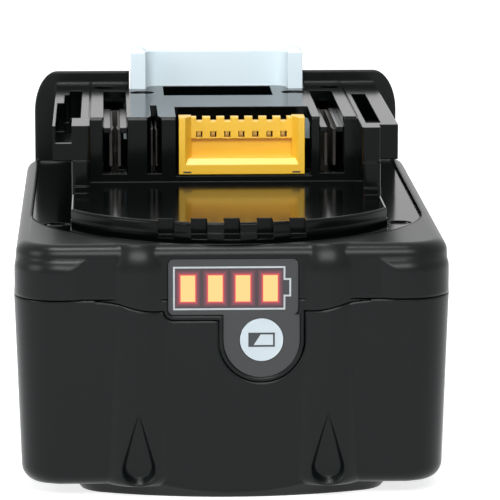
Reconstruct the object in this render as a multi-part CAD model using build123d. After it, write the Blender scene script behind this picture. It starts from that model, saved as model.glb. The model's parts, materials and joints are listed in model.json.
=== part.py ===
from build123d import *
import os
from math import acos, cos, radians, sin, tan

# Slide-on battery pack with a charge gauge, in millimetres.
# +Z is up, -Y is the gauge end, +Y is the release end, the origin is under the middle of the foot.

# Whole pack
pack_length = 113.0
pack_width = 76.0
wall = 2.2
draft_angle = 2.0
shoulder_draft_angle = 3.0
corner_radius = 8.0
half_width = pack_width / 2
rib_face_y = -pack_length / 2
far_face_y = pack_length / 2
rib_stand_out = 0.9
face_y = rib_face_y + rib_stand_out

# Heights
foot_depth = 2.2
inner_floor_z = foot_depth + wall
seam_z = 35.3
trough_z = 44.3
shoulder_z = 44.9
plateau_z = 48.0
deck_z = 60.1
housing_z = 62.6
ceiling = 2.0
deck_wall = 2.2

# Fits
shadow_gap = 0.25
fit_gap = 0.1
thread_gap = 0.02
slide_gap = 0.3
overrun = 1.0

# Plan of the foot, trough, plateau and rim, and the rounded edges
rim_front_margin = 2.2
foot_nose_radius = 60.0
foot_front_depth = 3.0
foot_corner_radius = 6.0
trough_width = 3.7
skirt_step = 0.6
skirt_step_z = 46.2
rim_side_margin = 2.7
foot_half_width = 26.6
foot_back_from_end = 6.5
foot_slope_angle = 40.0
bottom_round = 3.0
shoulder_round = 2.2

# Seam lip
lip_height = 1.2
lip_width = 1.0

# Front ribs, their domes and scoops
rib_x = 16.45
rib_radius = 7.65
rib_inside_depth = 2.8
rib_back_depth = 5.6
rib_bottom_round = 2.0
dome_top_z = 43.7
dip_depth = 1.4
dip_half_width = 7.4
scoop_radius = 3.7
scoop_low_z = 2.1
scoop_tip_z = 15.4
scoop_tip_depth = 0.25
scoop_foot_depth = 2.6
scoop_wall_angle = 32.0
scoop_floor_radius = 2.2
bumper_inner_x = 22.8
bumper_top_z = 43.0
bumper_stand_out = 0.75
bumper_round = 2.9
bumper_end_round = 6.0
bumper_side_inset = 0.1
bumper_back_from_face = 20.5

# Terminal deck
block_front_from_end = 58.1
block_half_width = 24.85
post_half_width = 28.1
left_post_from_block = -11.4
right_post_from_block = -15.4
post_step_heights = (53.7, 49.2)
post_step = 1.1
flange_half_width = 31.6
flange_under_z = 53.7
flange_front_from_block = -11.4
housing_front_from_end = 5.5
housing_side_step = 2.0
housing_far_from_end = 0.5
housing_corner_width = 4.6
housing_corner_height = 8.0
housing_back_round = 4.5
deck_line_width = 0.3
deck_line_depth = 0.3
deck_chamfer = 0.5
plateau_edge_round = 0.5
post_round = 0.6

# Power slots and thin signal slot
slot_x = 20.15
slot_half_width = 2.15
slot_gap_half = 0.85
slot_back_from_block = 40.6
ledge_back_from_block = 27.6
ledge_z = 58.2
ledge_thickness = 1.0
slot_floor_z = 49.6
slot_flare = 0.15
slot_flare_length = 2.0
signal_x = -12.85
signal_half_width = 0.65
signal_back_from_block = 17.9
signal_flare = 0.7
signal_flare_length = 2.6

# Pockets in the rails
sill_z = 56.9
pocket_floor_z = 54.6
sill_thickness = 1.2
left_pocket_inner_x = 26.5
left_pocket_outer_x = 31.1
left_pocket_mid_x = 29.8
left_pocket_far_x = 28.9
left_pocket_mid_from_block = 22.1
left_pocket_far_from_block = 35.1
left_pocket_end_from_block = 41.3
right_pocket_inner_x = 25.85
right_pocket_outer_x = 28.6
right_pocket_front_from_block = -8.8
right_pocket_end_from_block = 34.6

# Deck window in front of the hook, and small marks
window_half_width = 10.6
window_front_from_end = 25.0
window_back_from_end = 10.3
window_floor_z = 51.0
window_wall = 1.4
mark_x = 14.8
mark_from_end = 20.3
mark_radius = 2.4
mark_depth = 0.25

# Five drain notches in the plateau's front edge
notch_count = 5
notch_pitch = 5.75
notch_width = 2.8
notch_depth = 5.4
notch_floor_z = 45.2
notch_wall = 1.3

# Yellow connector
connector_left_x = -8.3
connector_right_x = 15.1
connector_sill_z = 49.4
connector_shelf_z = 52.3
connector_comb_z = 55.8
connector_top_z = 60.0
comb_top_z = 59.8
connector_side = 1.2
connector_bevel = 1.1
comb_front_depth = 2.4
comb_thickness = 2.2
connector_base_depth = 8.0
recess_gap_left = 0.6
recess_gap_right = 1.3
recess_back_from_block = 15.6
recess_floor_z = 49.1
pin_count = 7
pin_pitch = 2.62
first_pin_x = -4.45
pin_window = 1.15
pin_window_z = 56.55
comb_notch_depth = 0.75

# Hook, release button and springs
latch_travel = 5.4
hook_half_width = 16.9
hook_front_from_end = 14.1
hook_web_from_end = 9.1
hook_back_from_end = 6.1
hook_post_width = 2.9
hook_inner_round = 2.4
hook_rise = 7.7
hook_web_drop = 0.8
hook_stop_room = 0.6
hook_top_round = 0.6
tower_inner_x = 12.5
tower_outer_x = 18.4
tower_front_from_end = 13.3
spring_outer_radius = 2.1
spring_inner_radius = 1.6
spring_bore_clearance = 0.2
spring_seat_z = 44.0
spring_top_z = 55.4
button_half_width = 16.9
button_gap_y = 0.3
button_far_from_end = 0.2
button_face_thickness = 2.8
button_low_z = 53.0
button_cap_z = 58.3
button_top_z = 62.8
button_round = 1.4
button_rib_count = 4
button_rib_pitch = 1.9
button_rib_width = 0.8
button_rib_depth = 0.5
button_peg_x = 9.0
button_peg_radius = 1.5
button_peg_length = 1.8
finger_wall = 1.6
finger_floor_z = 47.2
finger_wall_top_z = 52.5

# Inner frame under the hook
frame_half_width = 25.0
frame_front_from_end = 13.8
frame_back_from_end = 5.5
frame_thickness = 1.6
frame_peg_radius = 1.2
frame_peg_height = 2.2
frame_screw_side_room = 2.8
frame_screw_from_end = 12.0
frame_post_radius = 2.9
frame_post_top_z = 54.0

# Screws
screw_radius = 1.25
screw_head_radius = 2.0
screw_head_height = 1.5
head_hole_radius = 2.2
boss_radius = 3.0
deck_screw_length = 8.0
well_side_room = 7.3
well_screw_length = 4.0
case_screw_side_room = 6.8
case_screw_front_from_face = 6.2
case_screw_far_from_end = 4.9
case_screw_seat_z = 12.0
case_screw_length = 27.0

# Cells, in two layers of five, lying across the pack
cell_radius = 9.15
cell_side_room = 5.5
cell_end_room = 9.25
least_cell_gap = 0.2
cell_shift_y = 0.6
layer_pitch = 18.5
cell_under_z = 5.1
cell_cap_radius = 4.5
cell_cap_height = 0.8
bore_gap = 0.06

# Cell holders, bus strips and sheets
holder_depth = 8.0
holder_lip = 0.5
holder_margin = 0.75
holder_under_z = 4.9
holder_top_z = 42.0
holder_window_width = 10.0
strip_thickness = 0.2
strip_width = 8.0
strip_tab_width = 5.0
strip_tab_z = 42.1
strip_tab_inner_x = 20.5
sheet_thickness = 0.3
sheet_margin = 1.5
pad_width = 6.0

# Control board and what stands on it
board_half_width = 22.0
board_front_from_face = 20.0
board_back_from_end = 18.5
board_thickness = 1.6
board_corner = 1.0
board_under_z = 42.4
standoff_half_width = 1.5
standoff_inner_x = 19.0
standoff_low_z = 38.2
clip_base_width = 4.4
clip_base_length = 22.0
clip_base_thickness = 1.0
clip_front_from_block = 6.0
clip_back_from_block = 34.6
clip_leaf = 0.5
clip_leaf_x = 0.75
clip_pinch_x = 0.5
clip_flare_x = 0.8
clip_pinch_share = 0.13
clip_mouth_share = 0.26
clip_top_z = 57.0
clip_low_z = 50.2
signal_clip_scale_share = 0.55
contact_half_width = 0.35
contact_thickness = 0.6
contact_top_z = 57.6

# Gauge at the near end
label_half_width = 11.25
label_low_z = 32.6
label_high_z = 42.4
label_corner = 1.0
tongue_x = 4.9
tongue_z = 28.2
tongue_radius = 6.6
label_thickness = 0.35
label_depth = 0.95
label_gap = 0.12
tab_margin = 0.75
tab_depth = 2.4
lamp_count = 4
lamp_pitch = 4.75
lamp_width = 2.7
lamp_first_x = -9.2
lamp_low_z = 34.8
lamp_high_z = 39.8
guide_bar_low_z = 36.0
guide_bar_high_z = 38.4
gauge_board_depth = 5.4
gauge_board_thickness = 1.0
gauge_board_half_width = 11.4
gauge_board_low_z = 21.4
gauge_board_high_z = 42.1
led_thickness = 1.0
led_width = 1.6
led_height = 2.4
gauge_boss_radius = 1.1
check_radius = 3.75
check_hole_gap = 0.12
check_travel = 0.5
check_disc_thickness = 1.1
check_stem_radius = 1.6
check_flange_radius = 4.4
check_flange_thickness = 0.5
switch_size = 4.6
switch_height = 1.0
plunger_radius = 1.1
plunger_bore_gap = 0.06
plunger_length = 1.5
ribbon_width = 8.0
ribbon_thickness = 0.25
ribbon_step = 3.2
ribbon_mid_z = 41.6
ribbon_bend = 1.0
ribbon_low_z = 33.0

# Parts on the control board: place, and width, depth and height
transistor_count = 4
transistor_size = (6.0, 5.0, 1.0)
transistor_pitch = 7.5
transistor_to_block = 12.4
chip_x = -6.0
chip_from_back = 18.0
chip_size = (9.0, 9.0, 1.2)
fuse_x = 9.0
fuse_from_back = 16.0
fuse_size = (6.0, 11.0, 1.1)
thermistor_size = (3.0, 2.0)
thermistor_height = 1.6

# Places that follow from the sizes above
rim_radius = half_width - rim_side_margin
plateau_radius = rim_radius - trough_width
nose_y = rib_face_y + rim_front_margin + rim_radius
housing_half_width = half_width - housing_side_step
foot_back_y = far_face_y - foot_back_from_end
block_front_y = far_face_y - block_front_from_end
housing_front_y = far_face_y - housing_front_from_end
housing_far_y = far_face_y - housing_far_from_end
window_front_y = far_face_y - window_front_from_end
window_back_y = far_face_y - window_back_from_end
mark_y = far_face_y - mark_from_end
hook_front_y = far_face_y - hook_front_from_end
hook_web_y = far_face_y - hook_web_from_end
hook_back_y = far_face_y - hook_back_from_end
tower_front_y = far_face_y - tower_front_from_end
button_far_y = far_face_y - button_far_from_end
frame_front_y = far_face_y - frame_front_from_end
frame_back_y = far_face_y - frame_back_from_end
frame_screw_y = far_face_y - frame_screw_from_end
case_screw_far_y = far_face_y - case_screw_far_from_end
board_back_y = far_face_y - board_back_from_end
case_screw_front_y = rib_face_y + case_screw_front_from_face
board_front_y = rib_face_y + board_front_from_face
bumper_back_y = rib_face_y + bumper_back_from_face
left_post_y = block_front_y + left_post_from_block
right_post_y = block_front_y + right_post_from_block
flange_front_y = block_front_y + flange_front_from_block
slot_back_y = block_front_y + slot_back_from_block
ledge_back_y = block_front_y + ledge_back_from_block
signal_back_y = block_front_y + signal_back_from_block
left_pocket_mid_y = block_front_y + left_pocket_mid_from_block
left_pocket_far_y = block_front_y + left_pocket_far_from_block
left_pocket_end_y = block_front_y + left_pocket_end_from_block
right_pocket_front_y = block_front_y + right_pocket_front_from_block
right_pocket_end_y = block_front_y + right_pocket_end_from_block
recess_back_y = block_front_y + recess_back_from_block
clip_front_y = block_front_y + clip_front_from_block
clip_back_y = block_front_y + clip_back_from_block
gauge_board_y = face_y + gauge_board_depth
connector_front_y = block_front_y
cell_length = pack_width - 2 * cell_side_room
cell_count = int((pack_length - 2 * cell_end_room) / (2 * cell_radius + least_cell_gap))
cell_pitch = (pack_length - 2 * cell_end_room) / cell_count
cell_middle_y = (rib_face_y + far_face_y) / 2 + cell_shift_y
holder_inner_x = cell_length / 2 - holder_depth
well_x = half_width - well_side_room
case_screw_x = half_width - case_screw_side_room
transistor_y = block_front_y - transistor_to_block
frame_screw_x = frame_half_width - frame_screw_side_room

# Heights and steps that follow
dome_half_width = (rib_radius ** 2 - (rib_radius - rib_stand_out) ** 2) ** 0.5
hook_top_z = deck_z + hook_rise
hook_web_top_z = hook_top_z - hook_web_drop
hook_low_z = spring_seat_z + latch_travel + hook_stop_room
label_floor_y = face_y + label_depth
tab_inner_y = face_y + tab_depth
rib_inside_y = face_y + rib_inside_depth
rib_back_y = face_y + rib_back_depth
cavity_inset = tan(radians(draft_angle)) * (seam_z - inner_floor_z) + wall
board_top_z = board_under_z + board_thickness
lower_cell_z = cell_under_z + cell_radius
upper_cell_z = lower_cell_z + layer_pitch
holder_outer_x = cell_length / 2 + holder_lip
strip_outer_x = holder_outer_x + strip_thickness
sheet_outer_x = strip_outer_x + sheet_thickness
holder_front_y = cell_middle_y - cell_pitch * (cell_count - 1) / 2 - cell_radius - holder_margin
holder_back_y = 2 * cell_middle_y - holder_front_y
cell_rows = [cell_middle_y + cell_pitch * (index - (cell_count - 1) / 2) for index in range(cell_count)]
valleys = [(near + far) / 2 for near, far in zip(cell_rows, cell_rows[1:])]
well_y = valleys[0]
deck_under_z = deck_z - deck_wall
slot_half_hole = hook_half_width + slide_gap
web_slot_y = hook_web_y - slide_gap
button_near_y = hook_back_y
finger_wall_y = button_far_y - button_face_thickness - button_gap_y
pin_places = [first_pin_x + pin_pitch * index for index in range(pin_count)]
led_front_y = gauge_board_y - led_thickness
screw_well_floor_z = trough_z - screw_head_height + fit_gap


def slab(x_pair, y_pair, z_pair):
    """Upright block between three pairs of planes."""
    (x_low, x_high), (y_low, y_high), (z_low, z_high) = x_pair, y_pair, z_pair
    middle = Pos((x_low + x_high) / 2, (y_low + y_high) / 2, (z_low + z_high) / 2)
    return middle * Box(x_high - x_low, y_high - y_low, z_high - z_low)


def upright(outline, low, high):
    """Plan outline raised between two heights."""
    return Pos(0, 0, low) * extrude(outline, high - low)


def facing(outline, near, far):
    """Front-view outline (X, Z) carried between two depths."""
    plane = Plane(origin=(0, far, 0), x_dir=(1, 0, 0), z_dir=(0, -1, 0))
    return extrude(plane * outline, far - near)


def peg(x, y, low, high, radius):
    """Round post."""
    return upright(Pos(x, y) * Circle(radius), low, high)


def pin_along_y(x, z, near, far, radius):
    """Round pin lying along the pack."""
    return facing(Pos(x, z) * Circle(radius), near, far)


def both_sides(shape):
    """The shape and its mirror image on the other side of the pack."""
    return shape + mirror(shape, about=Plane.YZ)


def case_outline(inset):
    """Plan of the housing at the seam, drawn in by an inset."""
    outline = RectangleRounded(pack_width - 2 * inset, far_face_y - face_y - 2 * inset, corner_radius - inset)
    return Pos(0, (far_face_y + face_y) / 2) * outline


def nose_outline(radius, side, back):
    """Plan with a round nose towards the gauge end and straight sides."""
    nose = Pos(0, nose_y) * Circle(radius)
    strip = Pos(0, (nose_y - radius + back) / 2) * Rectangle(2 * side, back - nose_y + radius)
    straight = Pos(0, (nose_y + back) / 2) * Rectangle(2 * side, back - nose_y)
    return (nose & strip) + straight


def label_outline(margin):
    """Front view of the gauge film: a bar with a round tongue, grown by a margin."""
    bar = Pos(0, (label_low_z + label_high_z) / 2) * RectangleRounded(
        2 * (label_half_width + margin), label_high_z - label_low_z + 2 * margin, label_corner + margin)
    tongue = Pos(tongue_x, tongue_z) * Circle(tongue_radius + margin)
    neck = Pos(tongue_x, (tongue_z + label_low_z) / 2) * Rectangle(
        2 * (tongue_radius + margin), label_low_z - tongue_z + 2 * margin)
    return bar + tongue + neck


def dip_outline(margin):
    """Front view of the seam's smooth dip from each rib's flank to the gauge tab, lowered by a margin."""
    low, high = seam_z - dip_depth, seam_z + dip_depth
    far = rib_x + dip_half_width
    wave = Spline((far, seam_z), (rib_x, low), (0, low), tangents=((-1, 0), (-1, 0)))
    rest = Polyline((0, low), (0, high), (far, high), (far, seam_z))
    dip = Pos(0, -margin) * make_face(wave + rest)
    return dip + mirror(dip, about=Plane.YZ)


def ribs():
    """Two upright round ribs that stand out of the gauge face."""
    rib = peg(rib_x, rib_face_y + rib_radius, foot_depth, seam_z, rib_radius)
    rib = fillet(rib.edges().group_by(Axis.Z)[0], rib_bottom_round)
    return both_sides(rib & slab((0, half_width), (rib_face_y - overrun, rib_back_y), (0, seam_z)))


def scoops():
    """Drop-shaped hollows at the foot of each rib, deeper towards the bottom."""
    drop = scoop_tip_z - scoop_low_z - scoop_radius
    floor = scoop_floor_radius
    tilt = (scoop_foot_depth - scoop_tip_depth) / (scoop_tip_z - scoop_low_z)
    tip = (rib_x, rib_face_y + scoop_tip_depth, scoop_tip_z)
    plane = Plane(origin=tip, x_dir=(1, 0, 0), z_dir=(0, -1, -tilt))
    opening = acos(floor / drop)
    tangent_x = floor * sin(opening)
    tangent_z = floor * cos(opening) - drop
    outline = Pos(0, -drop) * Circle(floor) + make_face(
        Polyline((0, 0), (tangent_x, tangent_z), (-tangent_x, tangent_z), close=True))
    return both_sides(extrude(plane * outline, wall + scoop_foot_depth, taper=-scoop_wall_angle))


def foot():
    """Shallow pad with sloped edges and a gently bowed front, which the pack stands on."""
    front = rib_face_y + foot_front_depth
    nose = Pos(0, front + foot_nose_radius) * Circle(foot_nose_radius)
    strip = Pos(0, (front + foot_back_y) / 2) * Rectangle(2 * foot_half_width, foot_back_y - front)
    outline = (nose & strip).face()
    outline = fillet(outline.vertices(), foot_corner_radius)
    height = foot_depth + bottom_round
    return extrude(outline, height, taper=-foot_slope_angle) & square_body(0, height)


def square_body(low, high):
    """Drafted body of the lower housing between two heights, with a square bottom edge."""
    inset = tan(radians(draft_angle)) * (seam_z - low)
    return Pos(0, 0, low) * extrude(case_outline(inset), high - low, taper=-draft_angle)


def lower_form():
    """Outside of the lower housing, without its cavity."""
    body = square_body(foot_depth, seam_z)
    body = fillet(body.edges().group_by(Axis.Z)[0], bottom_round)
    return body + ribs() + foot()


def case_screw_places():
    """Places of the four long screws that join the two housings."""
    return [(side * case_screw_x, y) for side in (-1, 1) for y in (case_screw_front_y, case_screw_far_y)]


def lower_case():
    """Lower housing: a drafted tub with ribs, screw bosses and a seam lip."""
    form = lower_form() - scoops()
    cavity = Pos(0, 0, inner_floor_z) * extrude(
        case_outline(cavity_inset), seam_z + overrun - inner_floor_z, taper=-draft_angle)
    tub = form - cavity
    lip = case_outline(wall - lip_width) - case_outline(wall)
    tub += upright(lip, seam_z - lip_width, seam_z + lip_height)
    for x, y in case_screw_places():
        tub += peg(x, y, inner_floor_z - fit_gap, seam_z, boss_radius)
    for x, y in case_screw_places():
        tub -= peg(x, y, 0, case_screw_seat_z, head_hole_radius)
        tub -= peg(x, y, 0, seam_z + overrun, screw_radius + thread_gap)
    tub -= facing(dip_outline(shadow_gap), rib_face_y - overrun, rib_inside_y + wall)
    tub -= facing(label_outline(tab_margin + shadow_gap), face_y - overrun, tab_inner_y + wall)
    return tub


def dome():
    """Round-topped swelling of the upper housing above each rib."""
    middle_y = rib_face_y + rib_radius
    top = dome_top_z - dome_half_width
    bullet = peg(rib_x, middle_y, seam_z, top, rib_radius) + Pos(rib_x, middle_y, top) * Sphere(rib_radius)
    return both_sides(bullet & slab((0, half_width), (rib_face_y - overrun, rib_inside_y), (0, shoulder_z)))


def bumper():
    """Rounded roll along the front corners above the seam."""
    length = far_face_y - face_y + bumper_stand_out
    outline = Pos(0, far_face_y - length / 2) * RectangleRounded(
        pack_width - 2 * bumper_side_inset, length, corner_radius)
    roll = upright(outline, seam_z + shadow_gap, bumper_top_z)
    roll = fillet(roll.edges().group_by(Axis.Z)[-1], bumper_round)
    keep = slab((bumper_inner_x, half_width + overrun), (face_y - bumper_stand_out, bumper_back_y),
                (0, shoulder_z))
    keep = fillet(keep.edges().filter_by(Axis.Z).group_by(Axis.X)[0].group_by(Axis.Y)[0], bumper_end_round)
    return both_sides(roll & keep)


def deck_form():
    """Plateau, terminal block, guide posts, rails and far housing, without hollows."""
    back = housing_front_y + overrun
    form = upright(nose_outline(plateau_radius, post_half_width, back), trough_z - ceiling, plateau_z)
    form = fillet(form.edges().group_by(Axis.Z)[-1], plateau_edge_round)
    skirt = nose_outline(plateau_radius + skirt_step, post_half_width, back)
    form += upright(skirt, trough_z - ceiling, skirt_step_z)
    block = slab((-block_half_width, block_half_width), (block_front_y, back), (plateau_z - ceiling, deck_z))
    form += chamfer(block.edges().group_by(Axis.Z)[-1].group_by(Axis.Y)[0], deck_chamfer)
    for side, front in ((-1, left_post_y), (1, right_post_y)):
        inner, outer = sorted((side * block_half_width, side * post_half_width))
        form += rounded_post(inner, outer, front, back, deck_z)
        for index, height in enumerate(post_step_heights):
            form += rounded_post(inner, outer, front - post_step * (index + 1), back, height)
        inner, outer = sorted((side * (post_half_width - overrun), side * flange_half_width))
        form += slab((inner, outer), (flange_front_y, back), (flange_under_z, deck_z))
    return button_bay(form + far_housing())


def rounded_post(inner, outer, front, back, height):
    """Guide post beside the terminal block, with rounded front corners."""
    post = slab((inner, outer), (front, back), (plateau_z - ceiling, height))
    return fillet(post.edges().filter_by(Axis.Z).group_by(Axis.Y)[0], post_round)


def far_housing():
    """Tall end of the upper housing, with its high rounded corners."""
    low = trough_z - ceiling
    corner_x, corner_z = housing_half_width - housing_corner_width, housing_z - housing_corner_height
    outline = Pos(0, (low + corner_z) / 2) * Rectangle(2 * housing_half_width, corner_z - low)
    outline += Pos(0, (low + housing_z) / 2) * Rectangle(2 * corner_x, housing_z - low)
    for side in (-1, 1):
        outline += Pos(side * corner_x, corner_z) * Ellipse(housing_corner_width, housing_corner_height)
    housing = facing(outline, housing_front_y, housing_far_y)
    return fillet(housing.edges().filter_by(Axis.Z).group_by(Axis.Y)[-1], housing_back_round)


def button_bay(form):
    """Cuts the bay of the hook and button out of the far end and sets the finger wall in it."""
    form -= slab((-slot_half_hole, slot_half_hole), (web_slot_y, far_face_y + overrun),
                 (finger_floor_z, housing_z + overrun))
    side = slot_half_hole + wall
    return form + slab((-side, side), (finger_wall_y - finger_wall, finger_wall_y), (trough_z, finger_wall_top_z))


def shoulder_form():
    """Body of the upper housing up to the shoulder, with its sunk trough, domes and bumper."""
    low = seam_z + shadow_gap
    body = Pos(0, 0, low) * extrude(case_outline(0), shoulder_z - low, taper=shoulder_draft_angle)
    body = fillet(body.edges().group_by(Axis.Z)[-1], shoulder_round)
    trough = nose_outline(rim_radius, rim_radius, housing_front_y)
    body -= upright(trough, trough_z, shoulder_z + overrun)
    return body + dome() + bumper()


def upper_hollows():
    """Space inside the upper housing."""
    low = seam_z - dip_depth - overrun
    inner = Pos(0, 0, seam_z - overrun) * extrude(
        case_outline(wall), trough_z - ceiling - seam_z + overrun, taper=shoulder_draft_angle)
    nose_side = block_half_width - wall
    plan = nose_outline(plateau_radius - wall, nose_side, housing_front_y)
    under_plateau = upright(plan, low, plateau_z - ceiling)
    notch_side = notch_pitch * (notch_count - 1) / 2 + notch_width / 2 + notch_wall
    front = nose_y - plateau_radius
    under_plateau -= slab((-notch_side, notch_side), (front, front + notch_depth + notch_wall),
                          (notch_floor_z - notch_wall, plateau_z))
    under_deck = slab((-nose_side, nose_side), (block_front_y + wall, housing_front_y), (low, deck_under_z))
    latch_well = slab((-frame_half_width - slide_gap, frame_half_width + slide_gap),
                      (frame_screw_y - frame_post_radius - slide_gap, finger_wall_y - finger_wall),
                      (low, deck_under_z))
    window_box = slab((-window_half_width - window_wall, window_half_width + window_wall),
                      (window_front_y - window_wall, web_slot_y), (window_floor_z - window_wall, deck_z))
    return inner + under_plateau + under_deck + (latch_well - window_box) - (window_box & under_deck)


def power_slot(side):
    """One power slot: a ledged groove in the deck, a gap under it and a flared mouth."""
    middle = side * slot_x
    front = block_front_y - overrun
    wide = (middle - slot_half_width, middle + slot_half_width)
    narrow = (middle - slot_gap_half, middle + slot_gap_half)
    groove = slab(wide, (front, slot_back_y), (ledge_z, deck_z + overrun))
    deep = slab(wide, (ledge_back_y, slot_back_y), (slot_floor_z, ledge_z + overrun))
    gap = slab(narrow, (front, ledge_back_y + overrun), (slot_floor_z, ledge_z + overrun))
    mouth = slab(wide, (front, block_front_y + wall + overrun), (slot_floor_z, ledge_z - ledge_thickness))
    flare = flared_mouth(middle, slot_half_width, slot_flare, slot_flare_length, slot_floor_z)
    return groove + deep + gap + mouth + flare


def flared_mouth(middle, half, flare, length, low):
    """Lead-in that opens towards the front of the terminal block."""
    back, front = block_front_y + length, block_front_y - overrun
    mouth = half + flare
    outline = Polyline((middle - half, back), (middle + half, back), (middle + mouth, block_front_y),
                       (middle + mouth, front), (middle - mouth, front), (middle - mouth, block_front_y),
                       close=True)
    return upright(make_face(outline), low, deck_z + overrun)


def ledges(side):
    """Thin ledges that run along both sides of a power slot."""
    middle = side * slot_x
    shelf = (ledge_z - ledge_thickness, ledge_z)
    near = (middle - slot_half_width, middle - slot_gap_half)
    far = (middle + slot_gap_half, middle + slot_half_width)
    depth = (block_front_y, ledge_back_y)
    return slab(near, depth, shelf) + slab(far, depth, shelf)


def signal_slot():
    """Thin slot for the signal blade, with a flared mouth."""
    slot = slab((signal_x - signal_half_width, signal_x + signal_half_width),
                (block_front_y - overrun, signal_back_y), (slot_floor_z, deck_z + overrun))
    return slot + flared_mouth(signal_x, signal_half_width, signal_flare, signal_flare_length, slot_floor_z)


def left_pocket_outline(front):
    """Plan of the left pocket: it narrows in steps towards the release end."""
    outline = Polyline((-left_pocket_outer_x, front), (-post_half_width, front),
                       (-post_half_width, block_front_y),
                       (-left_pocket_inner_x, block_front_y), (-left_pocket_inner_x, left_pocket_end_y),
                       (-left_pocket_far_x, left_pocket_end_y), (-left_pocket_far_x, left_pocket_far_y),
                       (-left_pocket_mid_x, left_pocket_far_y), (-left_pocket_mid_x, left_pocket_mid_y),
                       (-left_pocket_outer_x, left_pocket_mid_y), close=True)
    return make_face(outline)


def pockets():
    """Weight-saving pockets in the two rails; the left one is open above a front sill."""
    left = upright(left_pocket_outline(flange_front_y - overrun), sill_z, deck_z + overrun)
    left += upright(left_pocket_outline(flange_front_y + sill_thickness), pocket_floor_z, sill_z + overrun)
    right = slab((right_pocket_inner_x, right_pocket_outer_x), (right_pocket_front_y, right_pocket_end_y),
                 (pocket_floor_z, deck_z + overrun))
    return left + right


def deck_openings():
    """Everything cut into the terminal deck from above and in front."""
    cuts = power_slot(-1) + power_slot(1) + signal_slot() + pockets()
    cuts += slab((connector_left_x - recess_gap_left, connector_right_x + recess_gap_right),
                 (block_front_y - overrun, recess_back_y), (recess_floor_z, deck_z + overrun))
    cuts += slab((-window_half_width, window_half_width), (window_front_y, window_back_y),
                 (window_floor_z, deck_z + overrun))
    cuts += hook_slot(slide_gap)
    marks = peg(mark_x, mark_y, deck_z - mark_depth, deck_z + overrun, mark_radius)
    line_x = block_half_width
    marks += slab((line_x - deck_line_width / 2, line_x + deck_line_width / 2),
                  (block_front_y, housing_front_y), (deck_z - deck_line_depth, deck_z + overrun))
    cuts += both_sides(marks)
    for index in range(notch_count):
        middle = notch_pitch * (index - (notch_count - 1) / 2)
        front = nose_y - plateau_radius
        cuts += slab((middle - notch_width / 2, middle + notch_width / 2),
                     (front - overrun, front + notch_depth), (notch_floor_z, plateau_z + overrun))
    return cuts


def hook_outline(gap):
    """Plan of the hook: a web with two forward posts and rounded inner corners, grown by a gap."""
    outer, inner = hook_half_width + gap, hook_half_width - hook_post_width - gap
    front, web, back = hook_front_y - gap, hook_web_y - gap, hook_back_y + gap
    outline = Polyline((-outer, back), (-outer, front), (-inner, front), (-inner, web), (inner, web),
                       (inner, front), (outer, front), (outer, back), close=True)
    face = make_face(outline)
    corners = [corner for corner in face.vertices() if abs(corner.Y - web) < fit_gap]
    return fillet(corners, hook_inner_round)


def hook_slot(gap):
    """Slot in the deck and housing that the hook slides in."""
    return upright(hook_outline(gap), deck_under_z - overrun, housing_z + overrun)


def upper_bosses():
    """Screw bosses and gauge bosses inside the upper housing."""
    bosses = None
    for x, y in case_screw_places():
        boss = peg(x, y, seam_z, trough_z - ceiling + fit_gap, boss_radius)
        bosses = boss if bosses is None else bosses + boss
    bosses += both_sides(peg(frame_screw_x, frame_screw_y, frame_post_top_z, deck_under_z + fit_gap,
                             head_hole_radius + 2 * slide_gap))
    for x, z in gauge_boss_places():
        bosses += pin_along_y(x, z, tab_inner_y - fit_gap, gauge_board_y, gauge_boss_radius)
    return bosses


def gauge_boss_places():
    """Places of the three bosses that carry the gauge board."""
    high = gauge_board_high_z - gauge_boss_radius
    side = gauge_board_half_width - gauge_boss_radius
    return [(-side, high), (side, high), (tongue_x, gauge_board_low_z + gauge_boss_radius)]


def upper_holes():
    """Screw holes, the label recess, the lamp windows and the check hole."""
    holes = both_sides(
        peg(frame_screw_x, frame_screw_y, deck_under_z - screw_head_height, deck_z + overrun,
            head_hole_radius)
        + peg(frame_screw_x, frame_screw_y, frame_post_top_z - overrun, deck_z, screw_radius + thread_gap)
        + peg(well_x, well_y, screw_well_floor_z, shoulder_z + overrun, head_hole_radius)
        + peg(well_x, well_y, trough_z - ceiling - overrun, shoulder_z, screw_radius + thread_gap))
    for x, y in case_screw_places():
        holes += peg(x, y, seam_z - overrun, case_screw_seat_z + case_screw_length + fit_gap,
                     screw_radius + thread_gap)
    holes += facing(label_outline(label_gap), face_y - overrun, label_floor_y)
    for index in range(lamp_count):
        left = lamp_first_x + lamp_pitch * index
        across = (left - fit_gap, left + lamp_width + fit_gap)
        holes += slab(across, (face_y - overrun, tab_inner_y + overrun),
                      (lamp_low_z - fit_gap, lamp_high_z + fit_gap))
    return holes + pin_along_y(tongue_x, tongue_z, face_y - overrun, tab_inner_y + overrun,
                               check_radius + check_hole_gap)


def upper_case():
    """Upper housing with the terminal deck, rails, far housing and gauge tab."""
    form = shoulder_form() + deck_form()
    form -= upper_hollows()
    form -= deck_openings()
    form += ledges(-1) + ledges(1) + upper_bosses()
    dip = facing(dip_outline(0), rib_face_y - overrun, rib_inside_y)
    tab = facing(label_outline(tab_margin), face_y - overrun, tab_inner_y)
    below_seam = slab((-half_width, half_width), (rib_face_y, 0), (0, seam_z + 2 * shadow_gap))
    form += lower_form() & (dip + tab) & below_seam
    form += facing(label_outline(tab_margin), label_floor_y, tab_inner_y)
    form -= rebate()
    return form - upper_holes()


def rebate():
    """Groove inside the upper wall that takes the lower housing's lip."""
    ring = case_outline(wall - lip_width - fit_gap) - case_outline(wall + overrun)
    ring = upright(ring, seam_z - overrun, seam_z + lip_height)
    plain = rib_x + dip_half_width
    return ring - slab((-plain, plain), (rib_face_y, 0), (0, shoulder_z))


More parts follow.
